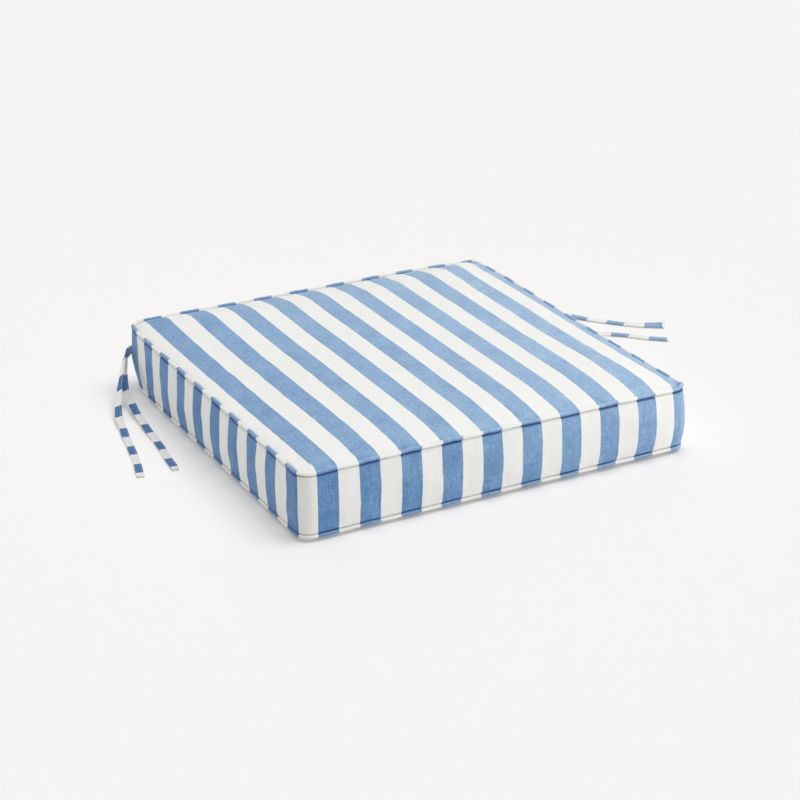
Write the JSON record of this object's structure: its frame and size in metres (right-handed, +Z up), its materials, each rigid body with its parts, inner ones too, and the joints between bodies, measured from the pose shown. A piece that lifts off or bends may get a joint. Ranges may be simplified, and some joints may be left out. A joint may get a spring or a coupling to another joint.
{
  "type": "chair seat pad",
  "caption": "Square box-edge chair seat pad in striped cloth with piped edges, a zip along the back and flat ties at the back corners.",
  "frame": {"origin": "middle of the pad's footprint, on the surface it lies on", "axes": "+X to the right seen from the front, +Y to the back edge with the zip and ties, +Z up"},
  "size_m": [0.789, 0.5106, 0.0927],
  "materials": {
    "striped_cloth": "woven canvas, blue and white stripes",
    "foam": "open-cell foam",
    "fibre": "lofted fibre batting",
    "welt_cord": "twisted cord",
    "zip_tape": "woven tape",
    "zip_coil": "moulded monofilament",
    "zip_metal": "enamelled die-casting",
    "thread": "twisted sewing thread"
  },
  "bodies": {
    "pad": {"foam_core": "foam", "fibre_wrap": "fibre", "top_panel": "striped_cloth", "bottom_panel": "striped_cloth", "boxing_band": "striped_cloth", "zip_boxing_upper": "striped_cloth", "zip_boxing_lower": "striped_cloth", "top_welt_cover": "striped_cloth", "top_welt_cord": "welt_cord", "bottom_welt_cover": "striped_cloth", "bottom_welt_cord": "welt_cord", "zipper_tape_upper": "zip_tape", "zipper_tape_lower": "zip_tape", "zipper_coil_upper": "zip_coil", "zipper_coil_lower": "zip_coil", "tie_left_outer": "striped_cloth", "tie_left_inner": "striped_cloth", "tie_right_outer": "striped_cloth", "tie_right_inner": "striped_cloth", "tie_tack_left": "thread", "tie_tack_right": "thread", "top_seam_stitching": "thread", "bottom_seam_stitching": "thread", "zip_stitching_upper": "thread", "zip_stitching_lower": "thread", "join_stitching": "thread"},
    "slider": {"zipper_slider": "zip_metal"},
    "pull": {"zipper_pull": "zip_metal"}
  },
  "joints": [
    {"name": "zip_slide", "type": "slide", "parent": "pad", "child": "slider", "axis": [-1, 0, 0], "range_m": [0, 0.4]},
    {"name": "pull_hinge", "type": "hinge", "parent": "slider", "child": "pull", "pos_m": [0.2, 0.2561, 0.043], "axis": [0, 0, 1], "range_deg": [-180, 0]}
  ]
}
